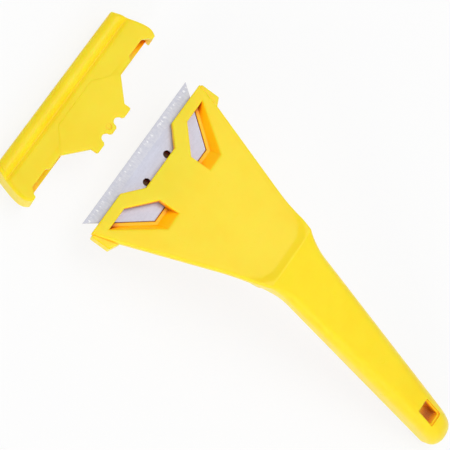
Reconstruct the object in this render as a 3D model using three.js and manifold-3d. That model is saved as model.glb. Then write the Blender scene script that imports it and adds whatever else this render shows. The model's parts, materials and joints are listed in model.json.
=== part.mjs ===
// Window scraper: a cranked plastic handle body, a clamped trapezoid blade and a push-on blade guard.
// Millimetres. The pieces are modelled in the head's own frame: X across the blade, Y from the cutting
// edge towards the handle, Z up out of the blade's upper face. The whole tool is then tilted until it
// stands on the guard and the tip of the handle, with the origin under the middle of its box.
import * as THREE from 'three';
import { mergeVertices } from 'three/addons/utils/BufferGeometryUtils.js';
import Module from 'manifold-3d';

const wasm = await Module();
wasm.setup();

// Blade
const BLADE_LENGTH = 62;
const BLADE_BACK = 30.9;
const BLADE_DEPTH = 19;
const BLADE_THICK = 0.65;
const GRIND_WIDTH = 4;
const EDGE_THICK = 0.12;
const BLADE_HOLE = 2.75;
const BLADE_HOLE_SPACING = 12.2;
const BLADE_HOLE_FROM_EDGE = 9.3;

// Fits
const BLADE_CLEARANCE = 0.3;
const GUARD_CLEARANCE = 0.45;

// Head: jaws, notch, windows and side lugs
const BLADE_REACH = 4.35;
const UPPER_JAW = 2.12;
const LOWER_JAW = 1.98;
const HEAD_SLOPE = 3.7;
const CHEEK_WALL = 4.8;
const EDGE_ROUND = 1;
const PLATE_EDGE = 2.6;
const PLATE_OVERHANG = 2.6;
const PLATE_THICK = 3;
const SKIRT_BLEND = 18;
const WALL_DRAFT = 0.2;
const NOTCH_DEPTH = 5.75;
const NOTCH_FRONT_WIDTH = 30.9;
const NOTCH_REAR_WIDTH = 17.4;
const FRONT_BAR = 4;
const NOTCH_STRIP = 5.3;
const CENTRE_WEB = 19;
const WINDOW_LEDGE = 1.5;
const WINDOW_FLARE_SIDE = 2.1;
const WINDOW_FLARE_REAR = 3.7;
const WINDOW_OVERSHOOT = 1.6;
const PIN_RECESS = 3.2;
const PIN_RECESS_DEPTH = 1.3;
const LUG_LENGTH = 8.9;
const LUG_PROUD = 0.6;
const LUG_TAPER = 1;
const LUG_DROP = 1;
const SHOULDER_TAPER = 2.7;

// Crank and handle
const HEAD_LENGTH = 59.1;
const SHOULDER_LENGTH = 36.8;
const SHOULDER_WIDTH = 32.8;
const FLANK_WIDTH = 29.5;
const FLANK_SHARE = 0.55;
const RISER_WIDTH = 27.3;
const RIDGE_WIDTH = 25.2;
const RIDGE_RISE = 0.85;
const RISER_LENGTH = 2.4;
const CRANK_ANGLE = 33;
const TURN_LEAD = 11;
const NECK_LENGTH = 15;
const NECK_WIDTH = 20.2;
const NECK_DEPTH = 6.8;
const NECK_ROUND = 3;
const HANDLE_LENGTH = 107.5;
const TIP_WIDTH = 10.6;
const TIP_DEPTH = 11.7;
const TIP_ROUND = 4.9;
const TIP_NOSE = 13;
const TIP_NOSE_DROP = 8.6;
const TIP_CORNER = 4.4;
const TIP_WALL = 3.4;
const WALL = 2.2;
const SLOT_WIDTH = 4.7;
const SLOT_LENGTH = 8.4;
const SLOT_FROM_TIP = 13.7;

// Ribs under the body
const RIB_THICK = 1.6;
const RIB_PITCH = 14;
const RIB_RECESS = 1;

// Guard
const GUARD_TRAVEL = 32;
const GUARD_EDGE_GAP = 0.9;
const GUARD_WALL = 1.6;
const GUARD_SIDE_GAP = 1;
const BEAD_DEPTH = 5.5;
const BEAD_PROUD = 1.5;
const BEAD_ROUND = 3;
const BEAD_BACK = 4.7;
const GUARD_TOP_LIP = 14;
const GUARD_STEP = 1.2;
const GUARD_STEP_WIDTH = 50;
const GUARD_LOWER_LIP = 15.4;
const EAR_LENGTH = 17;
const EAR_BOW = 3.7;
const EAR_HOOK = 1.4;
const EAR_RELIEF = 1.5;
const EAR_SHELF = 1.5;
const EAR_NIP = 0.75;
const TAB_ROOT_WIDTH = 35.8;
const TAB_TIP_WIDTH = 19.8;
const TAB_SHOULDER = 22.3;
const TAB_LENGTH = 25;
const TAB_NOTCH = 3.5;
const TAB_NOTCH_SPACING = 7.2;
const TAB_LOBE_CHAMFER = 0.7;

// Finish
const YELLOW_PLASTIC = { color: 0xfde236, roughness: 0.38, metalness: 0 };
const BLADE_STEEL = { color: 0xc9ccd6, roughness: 0.34, metalness: 0.9 };

// How finely curves are divided
const ARC_STEPS = 6;
const ROUND_SIDES = 24;
const NECK_STEPS = 6;
const GRIP_STEPS = 5;
const NOSE_STEPS = 7;
const TILT_STEPS = 48;

// Margins for cutting and welding, and the largest share of a section that its corners may take
const OVERCUT = 2;
const WELD = 1e-4;
const ROUND_LIMIT = 0.9;

const radians = THREE.MathUtils.degToRad;
const lerp = THREE.MathUtils.lerp;
const headRise = Math.tan(radians(HEAD_SLOPE));

// Levels and lines that several pieces share
const pocketTop = BLADE_THICK / 2 + BLADE_CLEARANCE;
const pocketFloor = -pocketTop;
const headFront = BLADE_REACH;
const headBottom = pocketFloor - LOWER_JAW;
const ridgeY = headFront + HEAD_LENGTH;
const endSlope = (BLADE_LENGTH - BLADE_BACK) / 2 / BLADE_DEPTH;
const endSlant = Math.hypot(1, endSlope);

function headTop(y) {
  return pocketTop + UPPER_JAW + (y - headFront) * headRise;
}

// Half of the blade's length at a distance from the cutting edge, grown outwards by a margin.
function bladeHalf(y, margin = 0) {
  return BLADE_LENGTH / 2 - endSlope * y + margin * endSlant;
}

const frontHalf = bladeHalf(headFront, BLADE_CLEARANCE) + CHEEK_WALL;
const lugHalf = frontHalf + LUG_PROUD;
const lugRear = headFront + LUG_LENGTH;
const handleSine = Math.sin(radians(CRANK_ANGLE));
const handleCosine = Math.cos(radians(CRANK_ANGLE));

// Solids and geometries

function solidOf(geometry) {
  const bare = geometry.clone();
  bare.deleteAttribute('normal');
  bare.deleteAttribute('uv');
  const welded = mergeVertices(bare, WELD);
  const vertProperties = new Float32Array(welded.getAttribute('position').array);
  const triVerts = new Uint32Array(welded.index.array);
  return new wasm.Manifold(new wasm.Mesh({ numProp: 3, vertProperties, triVerts }));
}

function geometryOf(solid) {
  const { vertProperties, triVerts } = solid.getMesh();
  const geometry = new THREE.BufferGeometry();
  geometry.setAttribute('position', new THREE.BufferAttribute(Float32Array.from(vertProperties), 3));
  geometry.setIndex(Array.from(triVerts));
  geometry.computeVertexNormals();
  return geometry;
}

function points(pairs) {
  return pairs.map(([a, b]) => new THREE.Vector2(a, b));
}

function outlineOf(pairs) {
  return new THREE.Shape(points(pairs));
}

// An outline drawn on the right, in order, closed by its mirror image on the left.
function mirrored(pairs) {
  const left = pairs.map(([a, b]) => [-a, b]).reverse();
  return outlineOf([...pairs, ...left]);
}

// A plan outline carried up from one level to another.
function prism(shape, low, high) {
  const options = { depth: high - low, bevelEnabled: false, curveSegments: ARC_STEPS };
  return solidOf(new THREE.ExtrudeGeometry(shape, options).translate(0, 0, low));
}

// A side profile in Y and Z carried across the full width.
function sideBar(shape, halfWidth) {
  const options = { depth: 2 * halfWidth, bevelEnabled: false, curveSegments: ARC_STEPS };
  const geometry = new THREE.ExtrudeGeometry(shape, options).translate(0, 0, -halfWidth);
  const across = new THREE.Vector3(1, 0, 0);
  const along = new THREE.Vector3(0, 1, 0);
  const up = new THREE.Vector3(0, 0, 1);
  return solidOf(geometry.applyMatrix4(new THREE.Matrix4().makeBasis(along, up, across)));
}

// Triangles of a loop's flat end, wound along the loop or against it.
function flatEnd(outline, first, alongLoop) {
  const flip = THREE.ShapeUtils.isClockWise(outline) === alongLoop;
  const faces = THREE.ShapeUtils.triangulateShape(outline, []);
  return faces.flatMap(([a, b, c]) => (flip ? [a, c, b] : [a, b, c])).map((n) => first + n);
}

function signedVolume(loops, index) {
  const corner = loops.flat();
  let volume = 0;
  for (let k = 0; k < index.length; k += 3) {
    const [a, b, c] = index.slice(k, k + 3).map((n) => corner[n]);
    volume += a.dot(b.clone().cross(c)) / 6;
  }
  return volume;
}

// A closed skin through loops of equal count, with the flat outlines of its first and last loop.
function loft(loops, firstOutline, lastOutline) {
  const count = loops[0].length;
  const last = (loops.length - 1) * count;
  const index = [...flatEnd(firstOutline, 0, true), ...flatEnd(lastOutline, last, false)];
  for (let ring = 0; ring < last; ring += count) {
    for (let k = 0; k < count; k += 1) {
      const a = ring + k;
      const b = ring + (k + 1) % count;
      index.push(a, a + count, b, b, a + count, b + count);
    }
  }
  if (signedVolume(loops, index) < 0) index.reverse();
  const geometry = new THREE.BufferGeometry();
  geometry.setFromPoints(loops.flat());
  geometry.setIndex(index);
  return solidOf(geometry);
}

function mesh(name, solid, finish) {
  const piece = new THREE.Mesh(geometryOf(solid), new THREE.MeshStandardMaterial(finish));
  piece.name = name;
  return piece;
}

// The body's spine: one station for each cross section from the jaws to the tip of the handle

const turnStart = ridgeY - TURN_LEAD;
const turnEnd = ridgeY + NECK_LENGTH * handleCosine;

// Cross sections lean over gradually on the way through the crank.
function leanAt(y) {
  return radians(CRANK_ANGLE) * THREE.MathUtils.clamp((y - turnStart) / (turnEnd - turnStart), 0, 1);
}

// The skirt comes out to the plate's edge on the way into the neck.
function overhangAt(y) {
  const ahead = ridgeY + NECK_LENGTH / 3 - y;
  return Math.max(WALL_DRAFT, PLATE_OVERHANG * THREE.MathUtils.smoothstep(ahead, 0, SKIRT_BLEND));
}

// Station on the head, at a distance from the cutting edge.
function headStation(y, half, rise = 0) {
  const z = headTop(y) + rise;
  const lean = leanAt(y);
  return {
    y,
    z,
    lean,
    half,
    round: EDGE_ROUND,
    edge: PLATE_EDGE,
    overhang: overhangAt(y),
    depth: (z - headBottom) / Math.cos(lean),
    roof: PLATE_THICK,
  };
}

const ridgeZ = headTop(ridgeY) + RIDGE_RISE;

// Station on the handle, at a distance behind the ridge.
function handleStation(t) {
  const taper = THREE.MathUtils.clamp((t - NECK_LENGTH) / (HANDLE_LENGTH - NECK_LENGTH), 0, 1);
  const throat = THREE.MathUtils.clamp(1 - t / NECK_LENGTH, 0, 1) ** 2;
  const nose = THREE.MathUtils.clamp((t - HANDLE_LENGTH + TIP_NOSE) / TIP_NOSE, 0, 1);
  const corner = THREE.MathUtils.clamp((t - HANDLE_LENGTH + TIP_CORNER) / TIP_CORNER, 0, 1);
  const drop = TIP_NOSE_DROP * (1 - Math.sqrt(1 - nose * nose));
  const pinch = TIP_CORNER * (1 - Math.sqrt(1 - corner * corner));
  const straight = lerp(NECK_WIDTH, TIP_WIDTH, taper) / 2;
  const half = lerp(straight, RIDGE_WIDTH / 2, throat) - pinch;
  const depth = lerp(lerp(NECK_DEPTH, TIP_DEPTH, taper), ridgeZ - headBottom, throat) - drop;
  const softest = lerp(lerp(NECK_ROUND, TIP_ROUND, taper), EDGE_ROUND, throat);
  const round = Math.min(softest, ROUND_LIMIT * half, ROUND_LIMIT * depth);
  return {
    y: ridgeY + t * handleCosine - drop * handleSine,
    z: ridgeZ - t * handleSine - drop * handleCosine,
    lean: leanAt(ridgeY + t * handleCosine),
    half,
    round,
    edge: lerp((round + depth) / 2, PLATE_EDGE, throat),
    overhang: overhangAt(ridgeY + t * handleCosine),
    depth,
    roof: lerp(WALL, PLATE_THICK, throat),
  };
}

function spine() {
  const shoulderY = lugRear + SHOULDER_LENGTH;
  const riserY = ridgeY - RISER_LENGTH;
  const noseStart = HANDLE_LENGTH - TIP_NOSE;
  const stations = [
    headStation(headFront, frontHalf),
    headStation(lugRear, frontHalf - SHOULDER_TAPER),
    headStation(shoulderY, SHOULDER_WIDTH / 2),
    headStation(lerp(shoulderY, riserY, FLANK_SHARE), FLANK_WIDTH / 2),
    headStation(riserY, RISER_WIDTH / 2),
  ];
  for (let k = 0; k < NECK_STEPS; k += 1) {
    stations.push(handleStation(NECK_LENGTH * (k / NECK_STEPS)));
  }
  for (let k = 0; k <= GRIP_STEPS; k += 1) {
    stations.push(handleStation(lerp(NECK_LENGTH, noseStart, k / GRIP_STEPS)));
  }
  for (let k = 1; k <= NOSE_STEPS; k += 1) {
    stations.push(handleStation(noseStart + TIP_NOSE * Math.sin((k / NOSE_STEPS) * (Math.PI / 2))));
  }
  return stations;
}

// A point of a station's cross section, from its offset across and its depth under the crown.
function place(station, [x, depth]) {
  const y = station.y - depth * Math.sin(station.lean);
  const z = station.z - depth * Math.cos(station.lean);
  return new THREE.Vector3(x, y, z);
}

// Upper corner of a cross section, from the side wall over to the crown.
function shoulderArc(half, top, round) {
  const arc = [];
  for (let k = 0; k <= ARC_STEPS; k += 1) {
    const turn = (k / ARC_STEPS) * (Math.PI / 2);
    arc.push([half - round * (1 - Math.cos(turn)), top + round * (1 - Math.sin(turn))]);
  }
  return arc;
}

function closedSection(right) {
  return [...right, ...right.map(([x, depth]) => [-x, depth]).reverse()];
}

// Flat plate edge that overhangs a narrower skirt; on the handle the two come together.
function outerSection({ half, round, edge, overhang, depth }) {
  const skirt = half - overhang;
  return closedSection([[skirt, depth], [skirt, edge], [half, edge], ...shoulderArc(half, 0, round)]);
}

// The hollow underneath, open at the bottom.
function hollowSection({ half, round, overhang, depth, roof }) {
  const slimmest = WALL / 4;
  const inner = Math.max(half - overhang - WALL, slimmest);
  const corner = Math.min(Math.max(round - WALL, slimmest), ROUND_LIMIT * inner);
  return closedSection([[inner, depth + OVERCUT], ...shoulderArc(inner, roof, corner)]);
}

function skin(stations, section) {
  const flat = stations.map(section);
  const loops = stations.map((station, k) => flat[k].map((pair) => place(station, pair)));
  return loft(loops, points(flat[0]), points(flat.at(-1)));
}

// A thin wall square to the spine at a station.
function crossRib(station) {
  const reach = frontHalf + OVERCUT;
  const height = station.depth - RIB_RECESS;
  const rib = new THREE.BoxGeometry(2 * reach, RIB_THICK, height).translate(0, 0, -height / 2);
  rib.rotateX(-station.lean).translate(0, station.y, station.z);
  return solidOf(rib);
}

function spineAt(t, stations) {
  const k = Math.min(Math.floor(t), stations.length - 2);
  const mix = {};
  Object.keys(stations[k]).forEach((key) => {
    mix[key] = lerp(stations[k][key], stations[k + 1][key], t - k);
  });
  return mix;
}

// Handle body

const windowRearLow = BLADE_DEPTH + WINDOW_LEDGE;
const trayStart = windowRearLow + WINDOW_FLARE_REAR + WALL;
const slotEnd = HANDLE_LENGTH - SLOT_FROM_TIP;
const slotStart = slotEnd - SLOT_LENGTH;

function hollow(stations) {
  const first = stations.findIndex((station) => station.y > trayStart);
  const share = (trayStart - stations[first - 1].y) / (stations[first].y - stations[first - 1].y);
  const start = spineAt(first - 1 + share, stations);
  const last = handleStation(HANDLE_LENGTH - TIP_WALL);
  const inner = stations.slice(first).filter((station) => station.y + WALL < last.y);
  return skin([start, ...inner, last], hollowSection);
}

// Walls across the hollow, with one at either end of the hanging slot and none under it.
function ribs(stations) {
  const walls = [];
  const headRun = ridgeY - trayStart;
  const headCount = Math.max(2, Math.round(headRun / RIB_PITCH));
  for (let k = 1; k < headCount; k += 1) {
    const y = trayStart + (k / headCount) * headRun;
    const next = stations.findIndex((station) => station.y > y);
    const share = (y - stations[next - 1].y) / (stations[next].y - stations[next - 1].y);
    walls.push(crossRib(spineAt(next - 1 + share, stations)));
  }
  const handleRun = slotStart - RIB_THICK / 2;
  const handleCount = Math.max(2, Math.round(handleRun / RIB_PITCH));
  for (let k = 0; k <= handleCount; k += 1) {
    walls.push(crossRib(handleStation((k / handleCount) * handleRun)));
  }
  walls.push(crossRib(handleStation(slotEnd + RIB_THICK / 2)));
  return walls;
}

// Pocket that the blade slides into from the front.
function bladePocket() {
  const rear = BLADE_DEPTH + BLADE_CLEARANCE;
  const front = -OVERCUT;
  const right = [front, rear].map((y) => [bladeHalf(y, BLADE_CLEARANCE), y]);
  return prism(mirrored(right), pocketFloor, pocketTop);
}

const notchSlope = NOTCH_DEPTH / ((NOTCH_FRONT_WIDTH - NOTCH_REAR_WIDTH) / 2);

// Half of the notch's width at a distance from the cutting edge, grown outwards by a margin.
function notchHalf(y, margin = 0) {
  const slant = Math.hypot(1, 1 / notchSlope);
  return NOTCH_FRONT_WIDTH / 2 - (y - headFront) / notchSlope + margin * slant;
}

// Notch in the upper jaw that bares the middle of the blade.
function jawNotch() {
  const rear = headFront + NOTCH_DEPTH;
  const outline = mirrored([[notchHalf(0), 0], [notchHalf(rear), rear]]);
  return prism(outline, 0, headTop(ridgeY));
}

// Window over one end of the blade: upright beside the jaw bars, flared at the side and the rear.
function bladeWindow(side) {
  const low = BLADE_THICK / 2;
  const front = headFront + FRONT_BAR;
  const web = CENTRE_WEB / 2;
  const webY = headFront + notchSlope * (notchHalf(headFront, NOTCH_STRIP) - web);
  const floor = [
    [notchHalf(front, NOTCH_STRIP), front],
    [bladeHalf(front, WINDOW_LEDGE), front],
    [bladeHalf(windowRearLow, WINDOW_LEDGE), windowRearLow],
    [web, windowRearLow],
    [web, webY],
  ];
  const flare = [[0, 0], [WINDOW_FLARE_SIDE, 0], [0, WINDOW_FLARE_REAR], [0, WINDOW_FLARE_REAR], [0, 0]];
  const lean = flare.map((run) => run.map((value) => WINDOW_OVERSHOOT * value));
  const roof = floor.map(([x, y], k) => [x + lean[k][0], y + lean[k][1]]);
  const top = floor.map(([, y], k) => low + WINDOW_OVERSHOOT * (headTop(y + flare[k][1]) - low));
  const low2d = floor.map(([x, y]) => [side * x, y]);
  const high2d = roof.map(([x, y]) => [side * x, y]);
  const lowLoop = low2d.map(([x, y]) => new THREE.Vector3(x, y, low));
  const highLoop = high2d.map(([x, y], k) => new THREE.Vector3(x, y, top[k]));
  return loft([lowLoop, highLoop], points(low2d), points(high2d));
}

// Blind recess in the lower jaw under a hole of the blade.
function pinRecess(side) {
  const depth = PIN_RECESS_DEPTH + pocketTop;
  const recess = new THREE.CylinderGeometry(PIN_RECESS / 2, PIN_RECESS / 2, depth, ROUND_SIDES);
  recess.rotateX(Math.PI / 2);
  recess.translate(side * BLADE_HOLE_SPACING / 2, BLADE_HOLE_FROM_EDGE, (pocketFloor - PIN_RECESS_DEPTH) / 2);
  return solidOf(recess);
}

// Side lug, lower than the head's top, that the guard's ears close over.
function sideLug(side) {
  const root = frontHalf - CHEEK_WALL + WALL / 2;
  const outline = [
    [root, headFront + LUG_PROUD],
    [lugHalf, headFront + LUG_PROUD],
    [lugHalf, lugRear - LUG_TAPER],
    [root, lugRear + LUG_TAPER],
  ];
  const pairs = side > 0 ? outline : outline.map(([x, y]) => [-x, y]).reverse();
  return prism(outlineOf(pairs), headBottom, headTop(headFront) - LUG_DROP);
}

function hangingSlot() {
  const crown = handleStation((slotStart + slotEnd) / 2);
  const depth = crown.depth + 2 * OVERCUT;
  const slot = new THREE.BoxGeometry(SLOT_WIDTH, SLOT_LENGTH, depth).translate(0, 0, OVERCUT - depth / 2);
  slot.rotateX(-crown.lean).translate(0, crown.y, crown.z);
  return solidOf(slot);
}

function handleBody() {
  const stations = spine();
  let cutter = hollow(stations);
  ribs(stations).forEach((rib) => {
    cutter = cutter.subtract(rib);
  });
  let body = skin(stations, outerSection);
  [-1, 1].forEach((side) => {
    body = body.add(sideLug(side));
  });
  body = body.subtract(cutter).subtract(bladePocket()).subtract(jawNotch()).subtract(hangingSlot());
  [-1, 1].forEach((side) => {
    body = body.subtract(bladeWindow(side)).subtract(pinRecess(side));
  });
  return body;
}

// Blade

function blade() {
  const outline = mirrored([[BLADE_LENGTH / 2, 0], [BLADE_BACK / 2, BLADE_DEPTH]]);
  [-1, 1].forEach((side) => {
    const hole = new THREE.Path();
    hole.absarc(side * BLADE_HOLE_SPACING / 2, BLADE_HOLE_FROM_EDGE, BLADE_HOLE / 2, 0, 2 * Math.PI, true);
    outline.holes.push(hole);
  });
  const edge = EDGE_THICK / 2;
  const half = BLADE_THICK / 2;
  const rear = BLADE_DEPTH + OVERCUT;
  const lower = [[0, -edge], [GRIND_WIDTH, -half], [rear, -half]];
  const ground = [...lower, ...lower.map(([y, z]) => [y, -z]).reverse()];
  return prism(outline, -BLADE_THICK, BLADE_THICK).intersect(sideBar(outlineOf(ground), BLADE_LENGTH));
}

// Guard, drawn pushed home on the head

const guardFront = -GUARD_EDGE_GAP - GUARD_WALL;
const guardFloor = headBottom - GUARD_CLEARANCE;
const guardBottom = guardFloor - GUARD_WALL;
const earInner = lugHalf + GUARD_SIDE_GAP;
const beadHalf = frontHalf + GUARD_EDGE_GAP + BLADE_CLEARANCE;

function guardY(depth) {
  return guardFront + depth;
}

function guardRoof(y) {
  return headTop(y) + GUARD_CLEARANCE;
}

// Bow of an ear along its length, as shares of the full bow and the full length
const EAR_LINE = [[0, 0], [0.48, 0.3], [0.89, 0.61], [1, 0.81]];
const HOOK_LINE = [[0.35, 0.92], [1, 1]];

// Bowed outer line of one ear in plan, from the bead's end to the hooked tip.
function earOuter() {
  const bowed = EAR_LINE.map(([bow, run]) => [beadHalf + bow * EAR_BOW, guardY(run * EAR_LENGTH)]);
  const reach = beadHalf + EAR_BOW;
  const hooked = HOOK_LINE.map(([hook, run]) => [reach - hook * EAR_HOOK, guardY(run * EAR_LENGTH)]);
  return [...bowed, ...hooked];
}

// Inner line of the same ear, clear of the head and its lugs.
function earInnerLine() {
  const tip = guardY(EAR_LENGTH);
  return [
    [beadHalf - GUARD_WALL / 2, guardY(GUARD_WALL)],
    [earInner, headFront + LUG_PROUD],
    [earInner + EAR_RELIEF, guardY(GUARD_TOP_LIP) - EAR_RELIEF],
    [earInner + EAR_RELIEF, guardY(GUARD_TOP_LIP)],
    [earInner + EAR_NIP, tip + OVERCUT],
  ];
}

// Where the upper plate ends beside an ear, which keeps a shelf of the plate on it.
function earShelfLine() {
  const tip = guardY(EAR_LENGTH);
  return [
    [beadHalf - EAR_SHELF, guardY(GUARD_TOP_LIP)],
    [beadHalf + EAR_NIP, tip],
    [beadHalf + EAR_NIP, tip + OVERCUT],
  ];
}

// Outer side profile: round nose, bead, groove and the plate that follows the head's top.
function guardProfile() {
  const plateTop = (y) => guardRoof(y) + GUARD_WALL;
  const beadTop = plateTop(guardY(BEAD_DEPTH)) + BEAD_PROUD;
  const end = guardY(EAR_LENGTH) + OVERCUT;
  const front = guardY(0);
  const profile = new THREE.Shape();
  profile.moveTo(front + BEAD_ROUND / 2, guardBottom);
  profile.lineTo(end, guardBottom);
  profile.lineTo(end, plateTop(end));
  profile.lineTo(guardY(BEAD_DEPTH), plateTop(guardY(BEAD_DEPTH)));
  profile.quadraticCurveTo(guardY(BEAD_BACK), beadTop, front + BEAD_ROUND, beadTop);
  profile.quadraticCurveTo(front, beadTop, front, beadTop - BEAD_ROUND);
  profile.lineTo(front, guardBottom + BEAD_ROUND / 2);
  profile.quadraticCurveTo(front, guardBottom, front + BEAD_ROUND / 2, guardBottom);
  return profile;
}

// Pull tab in plan: tapered sides, then three lobes with two round notches between them.
function tabOutline() {
  const root = guardY(GUARD_TOP_LIP - GUARD_STEP);
  const shoulder = guardY(TAB_SHOULDER);
  const tip = guardY(TAB_LENGTH);
  const half = TAB_TIP_WIDTH / 2;
  const notch = TAB_NOTCH / 2;
  const centre = TAB_NOTCH_SPACING / 2;
  const notchY = tip - TAB_LOBE_CHAMFER;
  const stepEnd = guardY(GUARD_TOP_LIP + GUARD_STEP);
  const right = [
    [GUARD_STEP_WIDTH / 2, root],
    [GUARD_STEP_WIDTH / 2, guardY(GUARD_TOP_LIP)],
    [GUARD_STEP_WIDTH / 2 - GUARD_STEP, stepEnd],
    [TAB_ROOT_WIDTH / 2, stepEnd],
    [half, shoulder],
    [half, tip - TAB_LOBE_CHAMFER],
    [half - TAB_LOBE_CHAMFER, tip],
    [centre + notch + TAB_LOBE_CHAMFER, tip],
  ];
  for (let k = 0; k <= 2 * ARC_STEPS; k += 1) {
    const turn = (k / (2 * ARC_STEPS)) * Math.PI;
    right.push([centre + notch * Math.cos(turn), notchY - notch * Math.sin(turn)]);
  }
  right.push([centre - notch - TAB_LOBE_CHAMFER, tip]);
  return mirrored(right);
}

// The space between the guard's two plates, from the nose wall to the open rear.
function guardChannel() {
  const rear = guardY(TAB_LENGTH) + OVERCUT;
  const nose = guardY(GUARD_WALL);
  const space = [[nose, guardFloor], [rear, guardFloor], [rear, guardRoof(rear)], [nose, guardRoof(nose)]];
  return sideBar(outlineOf(space), beadHalf + 2 * EAR_BOW);
}

// Everything behind a lip of one of the guard's plates.
function behindLip(lip, low, high) {
  const reach = beadHalf + 2 * EAR_BOW;
  return prism(mirrored([[reach, guardY(lip)], [reach, guardY(EAR_LENGTH) + 2 * OVERCUT]]), low, high);
}

function bladeGuard() {
  const low = guardBottom - OVERCUT;
  const high = guardRoof(guardY(EAR_LENGTH)) + GUARD_WALL + 2 * BEAD_PROUD + BEAD_ROUND;
  const inside = prism(mirrored(earInnerLine()), low, high);
  const upperTrim = behindLip(GUARD_TOP_LIP, 0, high).intersect(prism(mirrored(earShelfLine()), 0, high));
  const lowerTrim = behindLip(GUARD_LOWER_LIP, low, 0).intersect(inside);
  const shell = prism(mirrored(earOuter()), guardBottom, high)
    .intersect(sideBar(guardProfile(), beadHalf + 2 * EAR_BOW))
    .subtract(guardChannel().intersect(inside))
    .subtract(upperTrim)
    .subtract(lowerTrim);
  const tabEnd = guardY(TAB_LENGTH) + OVERCUT;
  const tabStart = guardY(BEAD_DEPTH);
  const slab = [
    [tabStart, guardRoof(tabStart)],
    [tabEnd, guardRoof(tabEnd)],
    [tabEnd, guardRoof(tabEnd) + GUARD_WALL],
    [tabStart, guardRoof(tabStart) + GUARD_WALL],
  ];
  return shell.add(prism(tabOutline(), 0, high).intersect(sideBar(outlineOf(slab), GUARD_STEP_WIDTH)));
}

// Assembly, standing on the guard's nose and the tip of the handle

function lowestAt(tilt, piece) {
  const position = piece.geometry.getAttribute('position');
  const sine = Math.sin(tilt);
  const cosine = Math.cos(tilt);
  let lowest = Infinity;
  for (let k = 0; k < position.count; k += 1) {
    const y = position.getY(k) + piece.position.y;
    lowest = Math.min(lowest, y * sine + position.getZ(k) * cosine);
  }
  return lowest;
}

// Tilt of the head at which both pieces stand on one level.
function restTilt(front, rear) {
  let flat = 0;
  let steep = radians(CRANK_ANGLE);
  for (let step = 0; step < TILT_STEPS; step += 1) {
    const tilt = (flat + steep) / 2;
    if (lowestAt(tilt, front) > lowestAt(tilt, rear)) flat = tilt;
    else steep = tilt;
  }
  return (flat + steep) / 2;
}

const bodyPiece = mesh('handle_body', handleBody(), YELLOW_PLASTIC);
const bladePiece = mesh('blade', blade(), BLADE_STEEL);
const guardPiece = mesh('blade_guard', bladeGuard(), YELLOW_PLASTIC);
guardPiece.position.y = -GUARD_TRAVEL;

const tool = new THREE.Group();
tool.add(bodyPiece, bladePiece, guardPiece);
tool.rotation.x = restTilt(guardPiece, bodyPiece);

const scraper = new THREE.Group();
scraper.add(tool);
scraper.updateMatrixWorld(true);
const box = new THREE.Box3().setFromObject(scraper, true);
const middle = box.getCenter(new THREE.Vector3());
tool.position.set(-middle.x, -middle.y, -box.min.z);

export default scraper;
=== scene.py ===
"""Window scraper: a cranked handle body, a clamped blade and a push-on guard, dressed over the packed frame."""

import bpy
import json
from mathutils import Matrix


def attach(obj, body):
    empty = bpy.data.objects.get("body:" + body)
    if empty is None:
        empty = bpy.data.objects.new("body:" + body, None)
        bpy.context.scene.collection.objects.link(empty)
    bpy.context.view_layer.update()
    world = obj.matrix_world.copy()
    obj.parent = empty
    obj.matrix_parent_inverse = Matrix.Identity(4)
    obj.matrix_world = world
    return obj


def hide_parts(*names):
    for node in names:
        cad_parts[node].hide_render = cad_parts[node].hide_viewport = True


bl_info = {
    "name": "Window scraper",
    "version": (1, 0, 0),
    "blender": (4, 5, 0),
    "location": "3D View > Sidebar > Scraper",
    "description": "Builds the handle body, the blade and the guard of a window scraper over its packed frame",
    "category": "Add Mesh",
}

import json
import math
from types import SimpleNamespace

import bmesh
import bpy
from mathutils import Matrix, Vector

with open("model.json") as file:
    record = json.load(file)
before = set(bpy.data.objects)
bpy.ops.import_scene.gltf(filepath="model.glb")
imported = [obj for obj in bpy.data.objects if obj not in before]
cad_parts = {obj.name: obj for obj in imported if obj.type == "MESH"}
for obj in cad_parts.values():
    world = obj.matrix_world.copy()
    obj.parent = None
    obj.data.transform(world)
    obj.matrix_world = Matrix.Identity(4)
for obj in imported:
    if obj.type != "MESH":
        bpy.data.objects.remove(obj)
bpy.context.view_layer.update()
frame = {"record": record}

MM = 0.001

# The head's own frame: X across the blade, Y from the cutting edge towards the handle, Z out of the
# blade's upper face. Shapes are drawn in it in millimetres and then set into the row frame.
record = frame["record"]
slide_axis = next(j["axis"] for j in record["behaviour"]["joints"] if j["name"] == "guard_slide")
jaw_mount = Vector(next(m["pos_m"] for m in record["mounts"] if m["name"] == "jaw_underside"))
JAW_MOUNT_IN_HEAD = Vector((0, 14, -2.605)) * MM
HEAD_TILT = math.atan2(slide_axis[2], slide_axis[1])
head_turn = Matrix.Rotation(HEAD_TILT, 4, "X")
head_origin = jaw_mount - head_turn @ JAW_MOUNT_IN_HEAD
HEAD_TO_ROW = Matrix.Translation(head_origin) @ head_turn @ Matrix.Scale(MM, 4)

HEAD_SLOPE = math.radians(3.7)  # of the head's upper face against the blade
CRANK_ANGLE = math.radians(33)  # of the handle's crown against the blade
GUARD_TRAVEL = 32  # the guard is drawn pushed home and stands this far off at rest, in mm

ARC = 8  # steps in a quarter turn
QUARTER_TURN = [k / ARC * math.pi / 2 for k in range(ARC + 1)]
CORNER = 0.3  # where the middle point of a softened corner lies, as a share of its size
OVERCUT = 2  # how far cutters reach past what they cut, in mm
GUARD_OVERCUT = 8  # the same for the shapes that trim the whole guard
WELD = 1e-4  # points closer than this, in mm, become one
CREASE = math.radians(38)  # edges that turn further stay sharp in shading
BLADE_CREASE = math.radians(4)  # the same for the blade's flat grinds
TWIST = math.radians(0.2)  # faces twisted further than this are split
WHITE = (1, 1, 1, 1)


def length(name, description, value):
    """A size that is stored in metres and shown in the scene's units."""
    return bpy.props.FloatProperty(
        name=name, description=description, default=value * MM, min=0, precision=5, unit="LENGTH"
    )


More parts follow.
